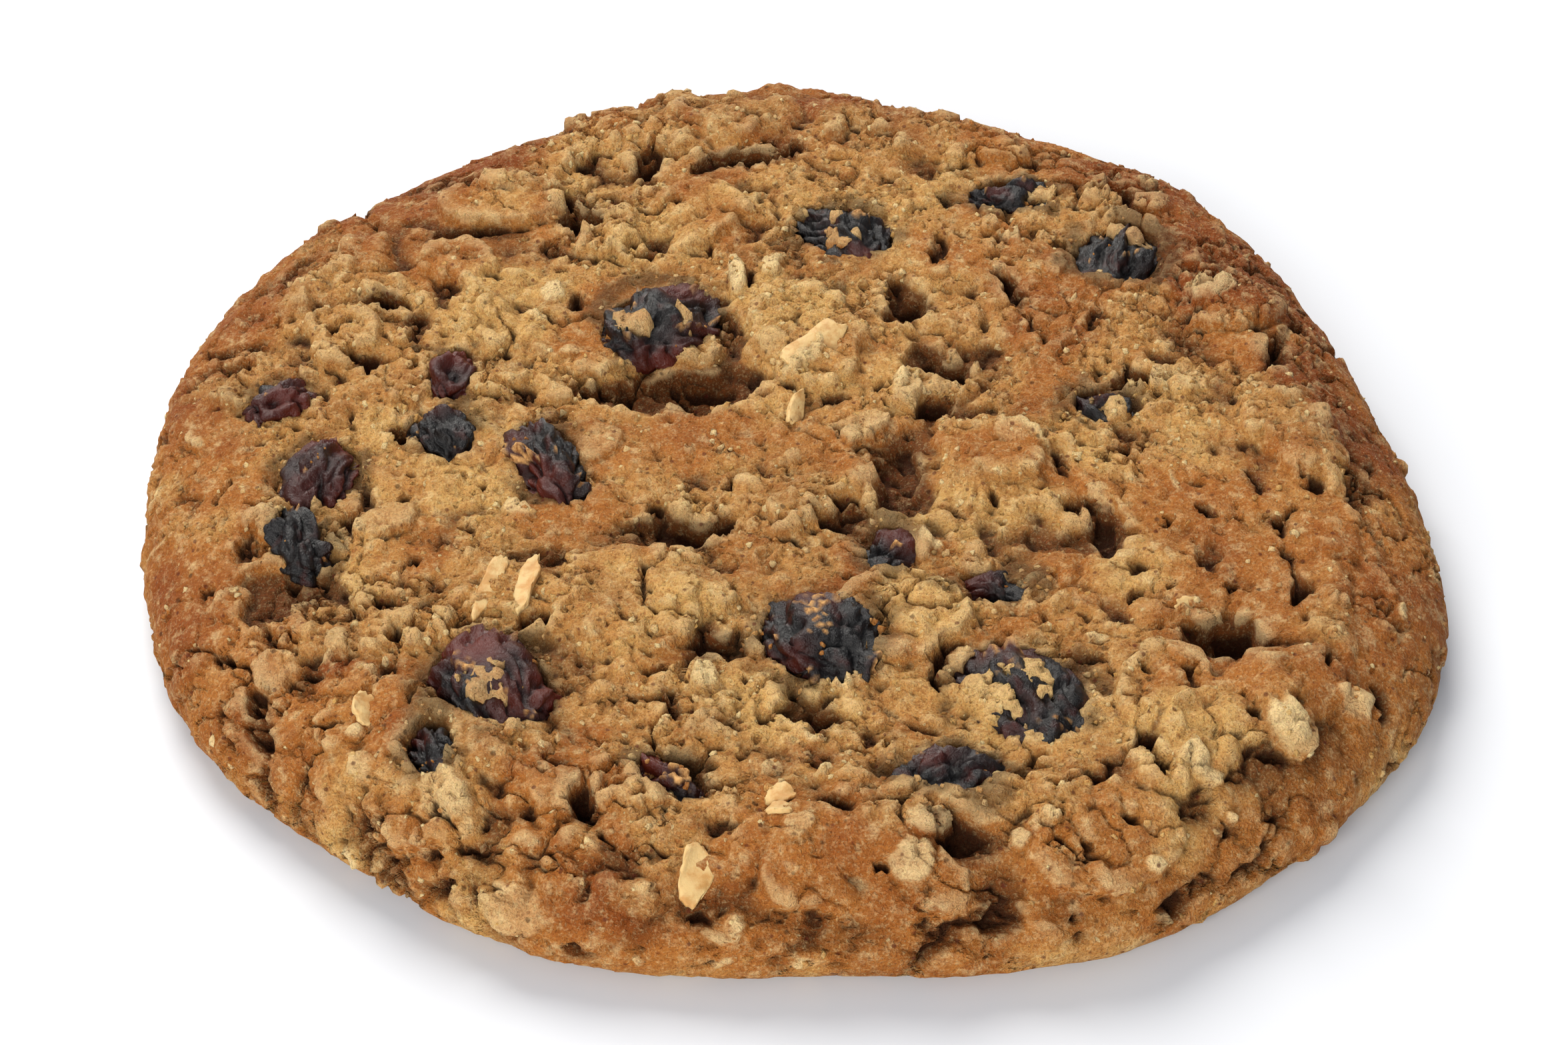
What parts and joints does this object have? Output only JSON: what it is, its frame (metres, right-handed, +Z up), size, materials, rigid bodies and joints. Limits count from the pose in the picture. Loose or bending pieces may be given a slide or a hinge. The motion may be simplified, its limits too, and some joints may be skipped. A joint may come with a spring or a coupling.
{
  "type": "oatmeal raisin cookie",
  "caption": "Flat round baked oatmeal raisin cookie with an uneven edge, craggy top and dark wrinkled raisins sunk in it.",
  "frame": {"origin": "on the table, under the middle of the cookie's box", "axes": "+Z up out of the craggy top, -Y towards the viewer of the reference view, +X to its right"},
  "size_m": [0.0988, 0.1034, 0.0111],
  "materials": {
    "dough": "matte baked crumb, golden tan in the middle and browner at the rim",
    "raisin": "semi-gloss wrinkled raisin skin, blue-black with dark red edges"
  },
  "bodies": {
    "root": {"dough": "dough", "raisin_crown_left": "raisin", "raisin_crown_mid": "raisin", "raisin_back_right": "raisin", "raisin_right_large": "raisin", "raisin_right_sunk": "raisin", "raisin_left_red": "raisin", "raisin_left_dark": "raisin", "raisin_rim_left": "raisin", "raisin_left_tall": "raisin", "raisin_left_low": "raisin", "raisin_mid_left": "raisin", "raisin_curled": "raisin", "raisin_speck": "raisin", "raisin_centre": "raisin", "raisin_mid_right": "raisin", "raisin_broad": "raisin", "raisin_front": "raisin", "raisin_front_left": "raisin", "raisin_window": "raisin"}
  },
  "joints": []
}
